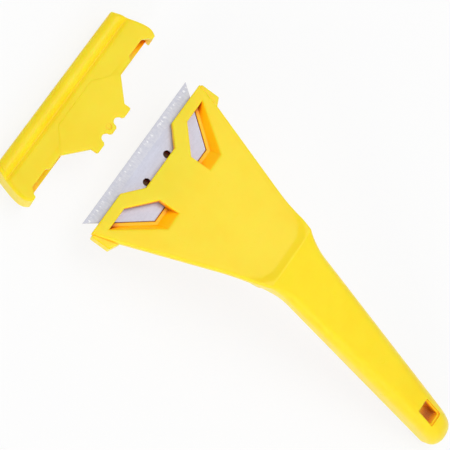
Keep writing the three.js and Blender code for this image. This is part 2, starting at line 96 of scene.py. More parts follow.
def tint(name, description, red, green, blue):
    """A colour given as the eye reads it on a screen, 0 to 255, and stored as linear light."""
    light = [((c / 255 + 0.055) / 1.055) ** 2.4 if c > 10 else c / 255 / 12.92 for c in (red, green, blue)]
    return bpy.props.FloatVectorProperty(
        name=name, description=description, default=light, size=3, min=0, max=1, subtype="COLOR"
    )


def share(name, description, value):
    """A plain share from 0 to 1."""
    return bpy.props.FloatProperty(
        name=name, description=description, default=value, min=0, max=1, subtype="FACTOR"
    )


def placing(name, description, place):
    """A point of the row frame in metres."""
    return bpy.props.FloatVectorProperty(
        name=name, description=description, default=place, subtype="XYZ_LENGTH"
    )


def wattage(name, description, watts):
    """The power of a lamp."""
    return bpy.props.FloatProperty(name=name, description=description, default=watts, min=0, unit="POWER")


class BladeSizes(bpy.types.PropertyGroup):
    """Sizes of the trapezoid blade."""

    edge_length: length("Edge length", "Length of the blade along its cutting edge", 62)
    back_length: length("Back length", "Length of the blade along its back", 30.9)
    depth: length("Depth", "From the cutting edge to the back", 19)
    thickness: length("Thickness", "Thickness of the blade", 0.65)
    grind: length("Ground band", "Width of the ground band along the edge", 4)
    edge: length("Edge thickness", "What is left of the thickness at the cutting edge", 0.12)
    hole: length("Hole", "Diameter of the two holes", 2.75)
    hole_spacing: length("Hole spacing", "Between the centres of the holes", 12.2)
    hole_from_edge: length("Hole from edge", "From the cutting edge to the centres of the holes", 9.3)


class HeadSizes(bpy.types.PropertyGroup):
    """Sizes of the head with its jaws, notch, windows and lugs."""

    clearance: length("Blade clearance", "Play of the blade in its pocket", 0.3)
    reach: length("Blade reach", "How far the blade stands out of the jaws", 4.35)
    upper_jaw: length("Upper jaw", "Thickness of the upper jaw at the front", 2.12)
    lower_jaw: length("Lower jaw", "Thickness of the lower jaw", 1.98)
    cheek: length("Cheek", "Width of the head beyond the blade's ends", 4.8)
    edge_round: length("Edge round", "Radius of the plate's upper edge", 1)
    plate_edge: length("Plate edge", "Height of the plate's edge above its skirt", 2.6)
    plate_overhang: length("Plate overhang", "How far the plate stands out over its skirt", 2.6)
    plate: length("Plate", "Thickness of the head's plate over the hollow", 3)
    front_round: length("Front round", "Radius along the front of the jaws", 0.35)
    notch_depth: length("Notch depth", "Depth of the notch in the upper jaw", 5.75)
    notch_front: length("Notch front", "Width of the notch at the front", 30.9)
    notch_rear: length("Notch rear", "Width of the notch at its rear", 17.4)
    front_bar: length("Front bar", "Bar of the jaw in front of a window", 4)
    notch_strip: length("Notch strip", "Strip between the notch and a window", 5.3)
    centre_web: length("Centre web", "Width left between the two windows", 19)
    window_ledge: length("Window ledge", "Ledge round the blade inside a window", 1.5)
    flare_side: length("Side flare", "How far a window's outer wall leans out", 2.1)
    flare_rear: length("Rear flare", "How far a window's rear wall leans back", 3.7)
    rim: length("Rim", "Radius of the rims of the windows and the notch", 0.4)
    pin_recess: length("Recess", "Diameter of the recess under each hole of the blade", 3.2)
    pin_depth: length("Recess depth", "Depth of that recess", 1.3)
    lug_length: length("Lug length", "Length of a side lug", 8.9)
    lug_proud: length("Lug proud", "How far a side lug stands out", 0.6)
    lug_taper: length("Lug taper", "Run of a side lug's rear corner", 1)
    lug_drop: length("Lug drop", "How far a side lug lies under the plate", 1)
    lug_round: length("Lug round", "Radius of a side lug's edges", 0.45)
    shoulder_taper: length("Shoulder taper", "Narrowing of the head along the lugs", 2.7)


class HandleSizes(bpy.types.PropertyGroup):
    """Sizes of the crank and the handle."""

    head_length: length("Head length", "From the jaws to the ridge of the crank", 59.1)
    shoulder_length: length("Shoulder length", "From the lugs to the shoulder", 36.8)
    shoulder_width: length("Shoulder width", "Width of the head at the shoulder", 32.8)
    ridge_width: length("Ridge width", "Width along the ridge of the crank", 25.2)
    ridge_rise: length("Ridge rise", "Height of the ridge over the plate", 0.85)
    riser: length("Riser", "Run of the slope up to the ridge", 2.4)
    riser_width: length("Riser width", "Width of the head at the foot of that slope", 27.3)
    flank_width: length("Flank width", "Width of the head between the shoulder and the ridge", 29.5)
    ridge_wrap: length("Ridge wrap", "How far the ridge curls forward along the plate's edges", 7)
    ridge_flat: length("Ridge flat", "Width over which the ridge runs straight across", 13)
    skirt_blend: length("Skirt blend", "Run over which the skirt comes out to the plate's edge", 18)
    ridge_round: length("Ridge round", "How far the ridge is rounded to either side", 0.8)
    shoulder_round: length("Shoulder round", "How far the shoulder's corners are rounded to either side", 3)
    turn_lead: length("Turn lead", "Where the cross sections start to lean, ahead of the ridge", 11)
    neck_length: length("Neck length", "From the ridge to the straight grip", 15)
    neck_width: length("Neck width", "Width of the grip at the neck", 20.2)
    neck_depth: length("Neck depth", "Depth of the grip at the neck", 6.8)
    neck_round: length("Neck round", "Radius of the crown's corners at the neck", 3)
    handle_length: length("Handle length", "From the ridge to the tip", 107.5)
    tip_width: length("Tip width", "Width of the grip at the tip", 10.6)
    tip_depth: length("Tip depth", "Depth of the grip at the tip", 11.7)
    tip_round: length("Tip round", "Radius of the crown's corners at the tip", 4.9)
    tip_nose: length("Tip nose", "Run of the tip's rounding along the handle", 13)
    tip_drop: length("Tip drop", "Fall of the tip's rounding", 8.6)
    tip_corner: length("Tip corner", "Radius of the tip's corners in plan", 4.4)
    tip_wall: length("Tip wall", "Thickness of the wall at the tip", 3.4)
    draft: length("Draft", "How far the grip's walls lean in towards the open side", 0.2)
    lip_round: length("Lip round", "Radius of the open side's outer edge", 0.3)
    wall: length("Wall", "Thickness of the walls", 2.2)
    slot_width: length("Slot width", "Width of the hanging slot", 4.7)
    slot_length: length("Slot length", "Length of the hanging slot", 8.4)
    slot_from_tip: length("Slot from tip", "From the slot's rear end to the tip", 13.7)
    slot_rim: length("Slot rim", "Radius of the slot's rim", 0.5)
    rib: length("Rib", "Thickness of the ribs under the body", 1.6)
    rib_pitch: length("Rib pitch", "Distance from rib to rib", 14)
    rib_recess: length("Rib recess", "How far the ribs stay inside the open side", 1)


class GuardSizes(bpy.types.PropertyGroup):
    """Sizes of the push-on guard."""

    clearance: length("Clearance", "Play of the guard over the head", 0.45)
    edge_gap: length("Edge gap", "Room in front of the cutting edge", 0.9)
    wall: length("Wall", "Thickness of the walls", 1.6)
    side_gap: length("Side gap", "Room beside the lugs", 1)
    bead_depth: length("Bead depth", "Depth of the round bead along the front", 5.5)
    bead_proud: length("Bead proud", "Height of the bead over the plate", 1.5)
    bead_round: length("Bead round", "Radius of the bead's front", 3)
    groove: length("Groove", "Depth of the groove behind the bead", 0.35)
    top_lip: length("Top lip", "Depth of the upper plate", 14)
    step: length("Step", "Step of the upper plate towards the tab", 1.2)
    step_width: length("Step width", "Width of that step", 50)
    lower_lip: length("Lower lip", "Depth of the lower plate", 15.4)
    ear_length: length("Ear length", "Length of the two ears", 17)
    ear_bow: length("Ear bow", "How far an ear bows out past the bead", 3.7)
    ear_hook: length("Ear hook", "How far an ear's tip hooks in", 1.4)
    ear_round: length("Ear round", "Radius along the ears and the ends of the bead", 1.1)
    ear_relief: length("Ear relief", "Room behind the ears' inner faces", 1.5)
    ear_shelf: length("Ear shelf", "How far the upper plate reaches in from the ears", 1.5)
    ear_nip: length("Ear nip", "How far an ear's tip lies outside the bead's end", 0.75)
    tab_root: length("Tab root", "Width of the pull tab at its root", 35.8)
    tab_tip: length("Tab tip", "Width of the pull tab at its lobes", 19.8)
    tab_shoulder: length("Tab shoulder", "Depth at which the lobes start", 22.3)
    tab_length: length("Tab length", "Depth of the lobes' ends", 25)
    tab_notch: length("Tab notch", "Diameter of the notches between the lobes", 3.5)
    tab_notch_spacing: length("Notch spacing", "Between the two notches", 7.2)
    tab_chamfer: length("Lobe chamfer", "Chamfer of the lobes' corners", 0.7)
    pad_front: length("Pad front", "Width of the tab's raised pad at its front", 19.7)
    pad_start: length("Pad start", "Depth at which the raised pad starts", 8.6)
    pad_rise: length("Pad rise", "Height of the raised pad", 0.12)


class Finishes(bpy.types.PropertyGroup):
    """Colours and surface values of the two materials."""

    yellow: tint("Yellow", "Moulded plastic, as it faces the light", 253, 223, 34)
    # The next three colours are painted shade: hollows are drawn orange to dark brown by how closed in they
    # are, and the first also tints the painted emission on the window walls
    amber_shade_and_glow: tint("Amber", "The same plastic in hollows, where light reaches it from other faces", 255, 193, 6)
    ember_shade: tint("Ember", "The same plastic where a hollow grows deep", 255, 146, 2)
    umber_shade: tint("Umber", "The same plastic in its deepest hollows", 172, 56, 8)
    # Painted shade: the recesses under the blade's holes are drawn near black, as deep shade
    recess: tint("Recess", "Depth of the recesses under the blade's holes", 46, 22, 8)
    plastic_rough: share("Plastic roughness", "Roughness of the moulded plastic", 0.3)
    plastic_glow: share("Plastic depth", "How far light spreads inside the plastic", 0.5)
    steel: tint("Steel", "Face of the blade", 194, 196, 211)
    ground: tint("Ground steel", "Ground band along the cutting edge", 205, 206, 215)
    steel_rough: share("Steel roughness", "Roughness of the blade", 0.42)


class Stage(bpy.types.PropertyGroup):
    """Camera and light."""

    camera: placing("Camera", "Place of the camera", (0.27919, -0.31921, 0.83027))
    aim: placing("Aim", "What the camera looks at", (-0.001845, -0.021507, 0.015))
    roll: bpy.props.FloatProperty(
        name="Roll", description="Roll of the camera", default=math.radians(-85.12), unit="ROTATION"
    )
    lens: bpy.props.FloatProperty(name="Lens", description="Focal length of the camera in mm", default=213.7)
    floor: tint("Floor", "Plain pale floor", 240, 240, 240)
    world: bpy.props.FloatProperty(name="World light", description="Strength of the even light", default=0.6)
    key: wattage("Key light", "Power of the soft lamp above the head", 4)
    fill: wattage("Fill light", "Power of the soft lamp behind the handle", 1.8)
    rim: wattage("Rim light", "Power of the low lamp at the side", 2.2)


def millimetres(group):
    """A group's sizes in millimetres."""
    return SimpleNamespace(**{key: getattr(group, key) / MM for key in group.__annotations__})


def mix(a, b, t):
    return a + (b - a) * t


def clamp(t):
    return min(max(t, 0.0), 1.0)


# Mesh helpers


def loft(loops):
    """Closed solid through loops of equal count: each is extruded to the next, and the ends are filled."""
    bm = bmesh.new()
    ring = [bm.verts.new(point) for point in loops[0]]
    edges = [bm.edges.new(pair) for pair in zip(ring, ring[1:] + ring[:1])]
    bm.faces.new(ring)
    for loop in loops[1:]:
        extruded = bmesh.ops.extrude_edge_only(bm, edges=edges)["geom"]
        fresh = {item for item in extruded if isinstance(item, bmesh.types.BMVert)}
        ring = [next(e.other_vert(v) for e in v.link_edges if e.other_vert(v) in fresh) for v in ring]
        edges = [bm.edges.get(pair) for pair in zip(ring, ring[1:] + ring[:1])]
        for vert, point in zip(ring, loop):
            vert.co = point
    bm.faces.new(ring)
    bmesh.ops.recalc_face_normals(bm, faces=bm.faces)
    bmesh.ops.connect_verts_nonplanar(bm, angle_limit=TWIST, faces=bm.faces)
    return bm


def prism(outline, low, high):
    """A plan outline carried up from one level to another."""
    return loft([[(x, y, z) for x, y in outline] for z in (low, high)])


def bar(profile, half):
    """A side profile in Y and Z carried across the width."""
    return loft([[(x, y, z) for y, z in profile] for x in (-half, half)])


def block(centre, size, lean):
    """A box, leaned over about X."""
    bm = bmesh.new()
    turn = Matrix.Translation(centre) @ Matrix.Rotation(-lean, 4, "X") @ Matrix.Diagonal((*size, 1))
    bmesh.ops.create_cube(bm, size=1, matrix=turn)
    return bm


def drum(centre, radius, depth):
    """An upright round plug."""
    bm = bmesh.new()
    place = Matrix.Translation(centre)
    bmesh.ops.create_cone(
        bm, cap_ends=True, segments=5 * ARC, radius1=radius, radius2=radius, depth=depth, matrix=place
    )
    return bm


def soften(bm, edges, radius):
    """Rounds edges over."""
    bmesh.ops.bevel(bm, geom=edges, offset=radius, affect="EDGES", segments=3, profile=0.5, material=-1)


def mirrored(right):
    """An outline drawn on the right, in order, closed by its mirror image."""
    return right + [(-x, y) for x, y in reversed(right)]


def grown(outline, margin):
    """A closed outline moved outwards by a margin, with its corners kept."""
    count = len(outline)
    area = sum(a[0] * b[1] - b[0] * a[1] for a, b in zip(outline, outline[1:] + outline[:1]))
    side = 1 if area > 0 else -1
    moved = []
    for k, here in enumerate(outline):
        before, after = outline[k - 1], outline[(k + 1) % count]
        into = Vector((here[0] - before[0], here[1] - before[1])).normalized()
        away = Vector((after[0] - here[0], after[1] - here[1])).normalized()
        first = Vector((into.y, -into.x)) * side
        second = Vector((away.y, -away.x)) * side
        reach = margin / max(1 + first.dot(second), 0.2)
        moved.append((here[0] + (first.x + second.x) * reach, here[1] + (first.y + second.y) * reach))
    return moved


def rimmed(outline, floor, top, rim):
    """Plug with upright walls that widen into a rounded rim where they meet a top that follows Y."""
    loops = [[(x, y, floor) for x, y in outline]]
    for turn in QUARTER_TURN:
        loop = grown(outline, rim * (1 - math.cos(turn)))
        loops.append([(x, y, top(y) - rim * (1 - math.sin(turn))) for x, y in loop])
    loops.append([(x, y, top(y) + OVERCUT) for x, y in grown(outline, rim)])
    return loft(loops)


def joined(*parts):
    """Several loose shapes as one."""
    whole = bmesh.new()
    for part in parts:
        shape = bpy.data.meshes.new("loose shape")
        part.to_mesh(shape)
        part.free()
        whole.from_mesh(shape)
        bpy.data.meshes.remove(shape)
    return whole


def pair(make):
    """A shape made on the left and on the right."""
    return joined(make(-1), make(1))


def as_object(name, bm):
    shape = bpy.data.meshes.new(name)
    bm.to_mesh(shape)
    bm.free()
    piece = bpy.data.objects.new(name, shape)
    bpy.context.scene.collection.objects.link(piece)
    return piece


def carve(piece, bm, operation="DIFFERENCE"):
    """Cuts a shape out of a piece, adds it, or keeps only what both hold."""
    tool = as_object("cutter", bm)
    cut = piece.modifiers.new("cut", "BOOLEAN")
    cut.object = tool
    cut.operation = operation
    cut.solver = "EXACT"
    settled = bpy.data.meshes.new_from_object(piece.evaluated_get(bpy.context.evaluated_depsgraph_get()))
    piece.modifiers.clear()
    worn, piece.data = piece.data, settled
    bpy.data.meshes.remove(worn)
    shape = tool.data
    bpy.data.objects.remove(tool)
    bpy.data.meshes.remove(shape)


def as_bmesh(piece):
    """Takes a working piece's shape and clears the piece away."""
    bm = bmesh.new()
    bm.from_mesh(piece.data)
    shape = piece.data
    bpy.data.objects.remove(piece)
    bpy.data.meshes.remove(shape)
    return bm


def settle(piece, name, body, node, finish, crease=CREASE):
    """Sets a finished shape into the row frame, smooths it and hands it to its body."""
    bm = bmesh.new()
    bm.from_mesh(piece.data)
    bmesh.ops.remove_doubles(bm, verts=bm.verts, dist=WELD)
    bmesh.ops.holes_fill(bm, edges=[e for e in bm.edges if e.is_boundary], sides=0)
    bmesh.ops.dissolve_degenerate(bm, edges=bm.edges, dist=WELD)
    bmesh.ops.remove_doubles(bm, verts=bm.verts, dist=WELD)
    bmesh.ops.transform(bm, matrix=HEAD_TO_ROW, verts=bm.verts)
    bm.to_mesh(piece.data)
    bm.free()
    piece.name = piece.data.name = name
    piece.data.shade_smooth()
    piece.data.set_sharp_from_angle(angle=crease)
    even = piece.modifiers.new("even shading", "WEIGHTED_NORMAL")
    even.keep_sharp = True
    even.weight = 80
    piece.data.materials.clear()
    piece.data.materials.append(finish)
    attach(piece, body)
    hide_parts(node)


# Handle body


class BodyForm:
    """Levels, lines and cross sections of the handle body."""

    CROWN_SHARES = (0.94, 0.87, 0.79, 0.7, 0.58, 0.42, 0.22)  # of the flat width, where the crown has points
    FLANK_PLACE = 0.55  # of the way from the shoulder to the foot of the ridge
    EDGE_UNDERSIDE = 0.4  # rounding under the plate's edge
    SKIRT_FILLET = 0.2  # between the skirt and the plate
    SLOT_CORNER = 0.4  # radius of the hanging slot's corners

    def __init__(self, scene):
        groups = scene.scraper_head, scene.scraper_handle, scene.scraper_blade
        self.head, self.handle, self.blade = head, handle, blade = [millimetres(group) for group in groups]
        self.pocket_top = blade.thickness / 2 + head.clearance
        self.front = head.reach
        self.bottom = -self.pocket_top - head.lower_jaw
        self.end_slope = (blade.edge_length - blade.back_length) / 2 / blade.depth
        self.notch_slope = (head.notch_front - head.notch_rear) / 2 / head.notch_depth
        self.front_half = self.blade_half(self.front, head.clearance) + head.cheek
        self.lug_half = self.front_half + head.lug_proud
        self.lug_rear = self.front + head.lug_length
        self.ridge_y = self.front + handle.head_length
        self.riser_y = self.ridge_y - handle.riser
        self.full_lift = handle.ridge_rise * math.cos(CRANK_ANGLE)
        self.turn_start = self.ridge_y - handle.turn_lead
        self.turn_end = self.ridge_y + handle.neck_length * math.cos(CRANK_ANGLE)
        self.window_rear = blade.depth + head.window_ledge
        self.tray_start = self.window_rear + head.flare_rear + handle.wall
        self.slot_end = handle.handle_length - handle.slot_from_tip
        self.slot_start = self.slot_end - handle.slot_length
        shoulder = self.lug_rear + handle.shoulder_length
        self.plan = [
            (self.front, self.front_half),
            (self.lug_rear, self.front_half - head.shoulder_taper),
            (shoulder, handle.shoulder_width / 2),
            (mix(shoulder, self.riser_y, self.FLANK_PLACE), handle.flank_width / 2),
            (self.riser_y, handle.riser_width / 2),
            (self.ridge_y, handle.ridge_width / 2),
        ]

    def top(self, y):
        return self.pocket_top + self.head.upper_jaw + (y - self.front) * math.tan(HEAD_SLOPE)

    def blade_half(self, y, margin):
        return self.blade.edge_length / 2 - self.end_slope * y + margin * math.hypot(1, self.end_slope)

    def lean(self, y):
        return CRANK_ANGLE * clamp((y - self.turn_start) / (self.turn_end - self.turn_start))

    def crown(self, s):
        """Point of the crown line: s is Y up to the ridge, and runs on along the handle behind it."""
        if s <= self.ridge_y:
            return s, self.top(s)
        sine, cosine = math.sin(CRANK_ANGLE), math.cos(CRANK_ANGLE)
        t = max(s - self.ridge_y - self.handle.ridge_rise * sine, 0)
        return self.ridge_y + t * cosine, self.top(self.ridge_y) - t * sine

    def lift(self, x, s, half):
        """Height of the handle's crown over the plate: the ridge curls forward along the plate's edges."""
        widening, softness = 0.8, (-0.1, -0.05, 0, 0.05, 0.1)
        flat = self.handle.ridge_flat / 2
        side = clamp((abs(x) - flat) / (half - flat)) if half > flat else 1.0
        start = self.riser_y - self.handle.ridge_wrap * side * side
        climb = (s - start) / (self.handle.riser * (1 + widening * side))
        return self.full_lift * sum(clamp(climb + shift) for shift in softness) / len(softness)

    def half(self, s):
        """Half of the width at a point of the crown line."""
        if s <= self.ridge_y:
            for (y0, h0), (y1, h1) in zip(self.plan, self.plan[1:]):
                if s <= y1:
                    return mix(h0, h1, (s - y0) / (y1 - y0))
        t = s - self.ridge_y
        return mix(self.straight(t), self.handle.ridge_width / 2, self.throat(t))

    def taper(self, t):
        return clamp((t - self.handle.neck_length) / (self.handle.handle_length - self.handle.neck_length))

    def throat(self, t):
        return clamp(1 - t / self.handle.neck_length) ** 2

    def straight(self, t):
        return mix(self.handle.neck_width, self.handle.tip_width, self.taper(t)) / 2

    def rounded(self, line, s, reach):
        """Mean of a line about a point, which rounds its corners."""
        near = [line(s + reach * k / 4) for k in range(-4, 5)]
        return near[0] if reach == 0 else sum(near) / len(near)

    def station(self, s):
        """Cross section at a point of the crown line."""
        head, handle = self.head, self.handle
        t = s - self.ridge_y
        throat = 1.0 if t <= 0 else self.throat(t)
        taper = self.taper(t)
        # The ridge is rounded close by; the shoulders from behind the lugs until the neck.
        close = handle.ridge_round * clamp(2 - abs(t) / 3)
        y = self.rounded(lambda at: self.crown(at)[0], s, close)
        z = self.rounded(lambda at: self.crown(at)[1], s, close)
        soft = handle.shoulder_round * clamp((s - self.lug_rear) / 8 - 0.6) * clamp(3 - t / 8)
        half = self.rounded(self.half, s, soft)
        lean = self.lean(y)
        nose = clamp((t - handle.handle_length + handle.tip_nose) / handle.tip_nose)
        corner = clamp((t - handle.handle_length + handle.tip_corner) / handle.tip_corner)
        drop = handle.tip_drop * (1 - math.sqrt(1 - nose * nose))
        half -= handle.tip_corner * (1 - math.sqrt(1 - corner * corner))
        if t <= 0:
            depth = (z - self.bottom) / math.cos(lean)
            crown_round = head.edge_round
        else:
            full = self.top(self.ridge_y) - self.bottom
            depth = mix(mix(handle.neck_depth, handle.tip_depth, taper) - self.full_lift, full, throat) - drop
            crown_round = mix(mix(handle.neck_round, handle.tip_round, taper), head.edge_round, throat)
        ahead = clamp((self.ridge_y + handle.neck_length / 3 - y) / handle.skirt_blend)
        return SimpleNamespace(
            s=s, y=y - drop * math.sin(CRANK_ANGLE), z=z - drop * math.cos(CRANK_ANGLE), lean=lean, half=half,
            depth=depth, round=min(crown_round, 0.92 * half, 0.8 * depth),
            skirt=ahead * ahead * (3 - 2 * ahead), roof=mix(handle.wall, head.plate, throat),
        )

    def arc(self, half, top, radius):
        return [(half - radius * (1 - math.cos(a)), top + radius * (1 - math.sin(a))) for a in QUARTER_TURN]

    def outer(self, at):
        """Plate edge that overhangs a skirt on the head, and one drafted wall on the handle."""
        lip = min(self.handle.lip_round, at.depth / 6, at.half / 4)
        edge, under = self.head.plate_edge, min(self.EDGE_UNDERSIDE, at.half / 4)
        skirt = at.half - self.head.plate_overhang
        stepped = [(skirt - lip, at.depth), (skirt - CORNER * lip, at.depth - CORNER * lip),
                   (skirt, at.depth - lip), (skirt, edge + self.SKIRT_FILLET),
                   (skirt + self.SKIRT_FILLET, edge), (at.half - under, edge),
                   (at.half - CORNER * under, edge - CORNER * under), (at.half, edge - under)]
        foot = at.half - self.handle.draft * clamp(at.half / 5)
        run = [mix(at.depth - lip, at.round, k / 6) for k in range(6)]
        drafted = [(foot - lip, at.depth), (foot - CORNER * lip, at.depth - CORNER * lip)]
        drafted += [(mix(foot, at.half, k / 6), level) for k, level in enumerate(run)]
        wall = [(mix(d[0], s[0], at.skirt), mix(d[1], s[1], at.skirt)) for d, s in zip(drafted, stepped)]
        crown = self.arc(at.half, 0, at.round)
        crown += [((at.half - at.round) * part, 0) for part in self.CROWN_SHARES]
        crown = [(x, depth - self.lift(x, at.s, at.half)) for x, depth in crown]
        return mirrored(wall + crown)

    def hollow(self, at):
        """The open underside."""
        wall = self.handle.wall
        inner = max(at.half - self.head.plate_overhang * at.skirt - wall, wall / 4)
        corner = min(max(at.round - wall, wall / 4), 0.9 * inner)
        return mirrored([(inner, at.depth + OVERCUT)] + self.arc(inner, at.roof, corner))

    def placed(self, at, section):
        sine, cosine = math.sin(at.lean), math.cos(at.lean)
        return [(x, at.y - depth * sine, at.z - depth * cosine) for x, depth in section]

    def front_stations(self):
        """The rounded front of the jaws."""
        radius = self.head.front_round
        stations = []
        for turn in reversed(QUARTER_TURN):
            inset = radius * (1 - math.cos(turn))
            at = self.station(self.front + radius * (1 - math.sin(turn)))
            at.half -= inset
            at.z -= inset
            at.depth -= 2 * inset
            stations.append(at)
        return stations

    def steps(self):
        """Points of the crown line that get cross sections, closer together round the ridge and the tip."""
        handle, ridge = self.handle, self.ridge_y
        nose = ridge + handle.handle_length - handle.tip_nose
        spans = [(self.lug_rear, self.riser_y - 2, 14), (self.riser_y - 2, ridge + 3, 16),
                 (ridge + 3, ridge + handle.neck_length + 4, 12), (ridge + handle.neck_length + 4, nose, 8)]
        points = [mix(a, b, k / count) for a, b, count in spans for k in range(count)]
        return points + [nose + handle.tip_nose * math.sin(k / 16 * math.pi / 2) for k in range(17)]

    def skin(self):
        stations = self.front_stations() + [self.station(s) for s in self.steps()]
        return loft([self.placed(at, self.outer(at)) for at in stations])

    def rib(self, s):
        at = self.station(s)
        height = at.depth - self.handle.rib_recess
        sine, cosine = math.sin(at.lean), math.cos(at.lean)
        centre = (0, at.y - height / 2 * sine, at.z - height / 2 * cosine)
        return block(centre, (2 * (self.front_half + OVERCUT), self.handle.rib, height), at.lean)

    def ribs(self):
        handle = self.handle
        run = self.ridge_y - self.tray_start
        count = max(2, round(run / handle.rib_pitch))
        places = [self.tray_start + k / count * run for k in range(1, count)]
        run = self.slot_start - handle.rib / 2
        count = max(2, round(run / handle.rib_pitch))
        places += [self.ridge_y + k / count * run for k in range(count + 1)]
        places.append(self.ridge_y + self.slot_end + handle.rib / 2)
        return [self.rib(s) for s in places]

    def tray(self):
        """What the open underside takes out of the body, with the ribs left standing."""
        last = self.ridge_y + self.handle.handle_length - self.handle.tip_wall
        points = [self.tray_start] + [s for s in self.steps() if self.tray_start < s < last - 0.2] + [last]
        stations = [self.station(s) for s in points]
        space = as_object("tray", loft([self.placed(at, self.hollow(at)) for at in stations]))
        carve(space, joined(*self.ribs()))
        return as_bmesh(space)

    def pocket(self):
        rear = self.blade.depth + self.head.clearance
        plan = [(self.blade_half(y, self.head.clearance), y) for y in (-OVERCUT, rear)]
        return prism(mirrored(plan), -self.pocket_top, self.pocket_top)

    def notch_half(self, y, margin=0.0):
        slope = self.notch_slope
        return self.head.notch_front / 2 - (y - self.front) * slope + margin * math.hypot(1, slope)

    def notch(self):
        rear = self.front + self.head.notch_depth
        plan = [(self.notch_half(y), y) for y in (-OVERCUT, rear)]
        return rimmed(mirrored(plan), 0, self.top, self.head.rim)

    def window(self, side):
        """Window over one end of the blade: upright beside the bars, flared at the side and the rear."""
        head = self.head
        low = self.blade.thickness / 2
        front = self.front + head.front_bar
        web = head.centre_web / 2
        web_y = self.front + (self.notch_half(self.front, head.notch_strip) - web) / self.notch_slope
        floor = [(self.notch_half(front, head.notch_strip), front),
                 (self.blade_half(front, head.window_ledge), front),
                 (self.blade_half(self.window_rear, head.window_ledge), self.window_rear),
                 (web, self.window_rear), (web, web_y)]
        flare = [(0, 0), (head.flare_side, 0), (0, head.flare_rear), (0, head.flare_rear), (0, 0)]
        reach = 1 - head.rim / (self.top(front) - low)
        loops = [[(side * x, y, low) for x, y in floor]]
        for turn in QUARTER_TURN:
            rise = mix(reach, 1, math.sin(turn))
            plan = [(x + dx * rise, y + dy * rise) for (x, y), (dx, dy) in zip(floor, flare)]
            edge = grown(plan, head.rim * (1 - math.cos(turn)))
            loops.append([(side * x, y, mix(low, self.top(y), rise)) for x, y in edge])
        plan = grown([(x + dx, y + dy) for (x, y), (dx, dy) in zip(floor, flare)], head.rim)
        loops.append([(side * x, y, self.top(y) + OVERCUT) for x, y in plan])
        return loft(loops)

    def pin_recess(self, side):
        depth = self.head.pin_depth + self.pocket_top
        centre = (side * self.blade.hole_spacing / 2, self.blade.hole_from_edge, -depth / 2)
        return drum(centre, self.head.pin_recess / 2, depth)

    def lug(self, side):
        """Side lug, lower than the plate, that the guard's ears close over."""
        head = self.head
        root = self.front_half - head.cheek + self.handle.wall / 2
        near = self.front + head.lug_proud
        plan = [(root, near), (self.lug_half, near), (self.lug_half, self.lug_rear - head.lug_taper),
                (root, self.lug_rear + head.lug_taper)]
        bm = prism([(side * x, y) for x, y in plan], self.bottom, self.top(self.front) - head.lug_drop)
        soften(bm, bm.edges[:], head.lug_round)
        return bm

    def slot(self):
        """Hanging slot with a rounded rim, square to the handle."""
        handle = self.handle
        crown = self.station(self.ridge_y + (self.slot_start + self.slot_end) / 2)
        half_x, half_y = handle.slot_width / 2, handle.slot_length / 2
        plan = [(half_x, -half_y), (half_x, half_y), (-half_x, half_y), (-half_x, -half_y)]
        bm = rimmed(plan, -crown.depth - 3, lambda y: 0.0, handle.slot_rim)
        upright = [e for e in bm.edges if abs((e.verts[0].co - e.verts[1].co).normalized().z) > 0.5]
        turn = Matrix.Translation((0, crown.y, crown.z)) @ Matrix.Rotation(-crown.lean, 4, "X")
        soften(bm, upright, self.SLOT_CORNER)
        bmesh.ops.transform(bm, matrix=turn, verts=bm.verts)
        return bm


class SCRAPER_OT_body(bpy.types.Operator):
    """Builds the handle body with its jaws, windows, lugs, ribs and hanging slot"""

    bl_idname = "scraper.body"
    bl_label = "Handle body"

    def execute(self, context):
        scene = context.scene
        form = BodyForm(scene)
        piece = as_object("body shape", form.skin())
        carve(piece, pair(form.lug), "UNION")
        carve(piece, form.tray())
        carve(piece, form.pocket())
        carve(piece, form.notch())
        for side in (-1, 1):
            carve(piece, form.window(side))
        carve(piece, pair(form.pin_recess))
        carve(piece, form.slot())
        finish = moulded_plastic("Body plastic", scene)
        settle(piece, "scraper_body", "body", "handle_body", finish)
        return {"FINISHED"}


# Blade


class SCRAPER_OT_blade(bpy.types.Operator):
    """Builds the trapezoid blade with its ground edge and two holes"""

    bl_idname = "scraper.blade"
    bl_label = "Blade"

    def execute(self, context):
        scene = context.scene
        size = millimetres(scene.scraper_blade)
        edge, half = size.edge / 2, size.thickness / 2
        chamfer = 0.12
        rear = size.depth - chamfer
        profile = [(0, -edge), (size.grind, -half), (rear, -half), (size.depth, -half + chamfer),
                   (size.depth, half - chamfer), (rear, half), (size.grind, half), (0, edge)]
        bm = bar(profile, size.edge_length / 2 + OVERCUT)
        slope = (size.edge_length - size.back_length) / 2 / size.depth
        for side in (-1, 1):
            bmesh.ops.bisect_plane(
                bm, geom=bm.verts[:] + bm.edges[:] + bm.faces[:], plane_co=(side * size.edge_length / 2, 0, 0),
                plane_no=(side, slope, 0), clear_outer=True,
            )
            bmesh.ops.holes_fill(bm, edges=[e for e in bm.edges if e.is_boundary], sides=0)
        bmesh.ops.recalc_face_normals(bm, faces=bm.faces)
        piece = as_object("blade shape", bm)
        carve(piece, pair(lambda side: self.hole(size, side)))
        finish = ground_steel("Blade steel", scene.scraper_finishes, scene.scraper_blade)
        settle(piece, "scraper_blade", "blade", "blade", finish, BLADE_CREASE)
        return {"FINISHED"}

    def hole(self, size, side):
        through = 3
        return drum((side * size.hole_spacing / 2, size.hole_from_edge, 0), size.hole / 2, through)


# Guard


